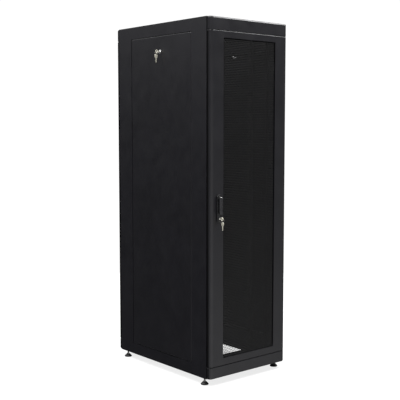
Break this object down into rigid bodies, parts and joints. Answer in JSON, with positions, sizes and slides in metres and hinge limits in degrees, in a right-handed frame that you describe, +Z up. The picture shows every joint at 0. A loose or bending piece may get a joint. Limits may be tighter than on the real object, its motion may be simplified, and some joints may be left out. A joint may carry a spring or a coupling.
{
  "type": "network server rack cabinet",
  "caption": "Floor-standing network server rack cabinet with perforated locking front door, solid rear door, lift-off side panels, square-hole rack rails and levelling feet.",
  "frame": {"origin": "on the floor under the middle of the cabinet", "axes": "+Z up, -Y out of the perforated front door, +X to the right seen from the front"},
  "size_m": [0.6772, 0.9611, 2.055],
  "materials": {
    "frame_coat": "satin black powder coat",
    "skin_coat": "satin black powder coat",
    "door_mesh": "satin black powder coat on perforated sheet",
    "rack_rail": "satin black powder coat",
    "handle_plastic": "fine matt texture",
    "handle_lever": "semi-gloss black",
    "zinc_steel": "zinc plated",
    "key_ring_steel": "bright nickel",
    "lock_chrome": "polished",
    "key_nickel": "pale nickel-brass, satin",
    "foot": "matt",
    "earth_brass": "satin"
  },
  "bodies": {
    "cabinet": {"post_front_left": "frame_coat", "post_front_right": "frame_coat", "post_rear_left": "frame_coat", "post_rear_right": "frame_coat", "beam_front_top": "frame_coat", "beam_front_bottom": "frame_coat", "beam_rear_top": "frame_coat", "beam_rear_bottom": "frame_coat", "depth_rail_top_left": "frame_coat", "depth_rail_top_right": "frame_coat", "depth_rail_bottom_left": "frame_coat", "depth_rail_bottom_right": "frame_coat", "middle_brace_left": "frame_coat", "middle_brace_right": "frame_coat", "roof_panel": "skin_coat", "roof_vent_cover": "skin_coat", "base_panel": "skin_coat", "earth_stud": "earth_brass", "fascia_front_top": "skin_coat", "fascia_front_bottom": "skin_coat", "fascia_rear_top": "skin_coat", "fascia_rear_bottom": "skin_coat", "rack_rail_front_left": "rack_rail", "rack_rail_front_right": "rack_rail", "rack_rail_rear_left": "rack_rail", "rack_rail_rear_right": "rack_rail"},
    "front_door": {"front_door_frame": "skin_coat", "front_door_mesh": "door_mesh", "front_hinge_pin_upper": "zinc_steel", "front_hinge_pin_lower": "zinc_steel", "front_handle_housing": "handle_plastic"},
    "front_handle": {"front_handle_spindle": "zinc_steel"},
    "front_lever": {"front_handle_lever": "handle_lever"},
    "front_lock": {"front_lock_plug": "lock_chrome", "front_key": "key_nickel"},
    "front_keys": {"front_key_ring": "key_ring_steel", "front_spare_key": "key_nickel"},
    "rear_door": {"rear_door_pan": "skin_coat", "rear_hinge_pin_upper": "zinc_steel", "rear_hinge_pin_lower": "zinc_steel", "rear_handle_housing": "handle_plastic"},
    "rear_handle": {"rear_handle_spindle": "zinc_steel"},
    "rear_lever": {"rear_handle_lever": "handle_lever"},
    "rear_lock": {"rear_lock_plug": "lock_chrome"},
    "side_left_panel": {"side_panel_left": "skin_coat", "side_left_lock_barrel": "lock_chrome"},
    "side_left_lock": {"side_left_lock_plug": "lock_chrome", "side_left_key": "key_nickel"},
    "side_left_keys": {"side_left_key_ring": "key_ring_steel", "side_left_spare_key": "key_nickel"},
    "side_right_panel": {"side_panel_right": "skin_coat", "side_right_lock_barrel": "lock_chrome"},
    "side_right_lock": {"side_right_lock_plug": "lock_chrome", "side_right_key": "key_nickel"},
    "side_right_keys": {"side_right_key_ring": "key_ring_steel", "side_right_spare_key": "key_nickel"},
    "foot_front_left": {"foot_front_left": "foot"},
    "foot_front_right": {"foot_front_right": "foot"},
    "foot_rear_left": {"foot_rear_left": "foot"},
    "foot_rear_right": {"foot_rear_right": "foot"}
  },
  "joints": [
    {"name": "front_door_hinge", "type": "hinge", "parent": "cabinet", "child": "front_door", "pos_m": [0.288, -0.433, 1.0475], "axis": [0, 0, 1], "range_deg": [0, 130]},
    {"name": "front_handle_turn", "type": "hinge", "parent": "front_door", "child": "front_handle", "pos_m": [-0.236, -0.4533, 1.064], "axis": [0, -1, 0], "range_deg": [0, 90]},
    {"name": "front_lever_tilt", "type": "hinge", "parent": "front_handle", "child": "front_lever", "pos_m": [-0.236, -0.464, 1.064], "axis": [-1, 0, 0], "range_deg": [0, 35]},
    {"name": "front_lock_turn", "type": "hinge", "parent": "front_door", "child": "front_lock", "pos_m": [-0.236, -0.4533, 0.948], "axis": [0, -1, 0], "range_deg": [0, 90]},
    {"name": "rear_door_hinge", "type": "hinge", "parent": "cabinet", "child": "rear_door", "pos_m": [-0.288, 0.433, 1.0475], "axis": [0, 0, 1], "range_deg": [0, 130]},
    {"name": "rear_handle_turn", "type": "hinge", "parent": "rear_door", "child": "rear_handle", "pos_m": [0.236, 0.4533, 1.064], "axis": [0, 1, 0], "range_deg": [0, 90]},
    {"name": "rear_lever_tilt", "type": "hinge", "parent": "rear_handle", "child": "rear_lever", "pos_m": [0.236, 0.464, 1.064], "axis": [1, 0, 0], "range_deg": [0, 35]},
    {"name": "rear_lock_turn", "type": "hinge", "parent": "rear_door", "child": "rear_lock", "pos_m": [0.236, 0.4533, 0.948], "axis": [0, 1, 0], "range_deg": [0, 90]},
    {"name": "front_keys_swing", "type": "hinge", "parent": "front_lock", "child": "front_keys", "pos_m": [-0.236, -0.47868, 0.9493], "axis": [-1, 0, 0], "range_deg": [-20, 45]},
    {"name": "side_left_panel_lift_off", "type": "slide", "parent": "cabinet", "child": "side_left_panel", "axis": [-1, 0, 0], "range_m": [0, 0.3]},
    {"name": "side_left_lock_turn", "type": "hinge", "parent": "side_left_panel", "child": "side_left_lock", "pos_m": [-0.3023, 0, 1.892], "axis": [-1, 0, 0], "range_deg": [0, 90]},
    {"name": "side_left_keys_swing", "type": "hinge", "parent": "side_left_lock", "child": "side_left_keys", "pos_m": [-0.32768, 0, 1.8933], "axis": [0, 1, 0], "range_deg": [-20, 45]},
    {"name": "side_right_panel_lift_off", "type": "slide", "parent": "cabinet", "child": "side_right_panel", "axis": [1, 0, 0], "range_m": [0, 0.3]},
    {"name": "side_right_lock_turn", "type": "hinge", "parent": "side_right_panel", "child": "side_right_lock", "pos_m": [0.3023, 0, 1.892], "axis": [1, 0, 0], "range_deg": [0, 90]},
    {"name": "side_right_keys_swing", "type": "hinge", "parent": "side_right_lock", "child": "side_right_keys", "pos_m": [0.32768, 0, 1.8933], "axis": [0, -1, 0], "range_deg": [-20, 45]},
    {"name": "foot_front_left_screw", "type": "slide", "parent": "cabinet", "child": "foot_front_left", "axis": [0, 0, 1], "range_m": [-0.02, 0]},
    {"name": "foot_front_right_screw", "type": "slide", "parent": "cabinet", "child": "foot_front_right", "axis": [0, 0, 1], "range_m": [-0.02, 0]},
    {"name": "foot_rear_left_screw", "type": "slide", "parent": "cabinet", "child": "foot_rear_left", "axis": [0, 0, 1], "range_m": [-0.02, 0]},
    {"name": "foot_rear_right_screw", "type": "slide", "parent": "cabinet", "child": "foot_rear_right", "axis": [0, 0, 1], "range_m": [-0.02, 0]}
  ]
}
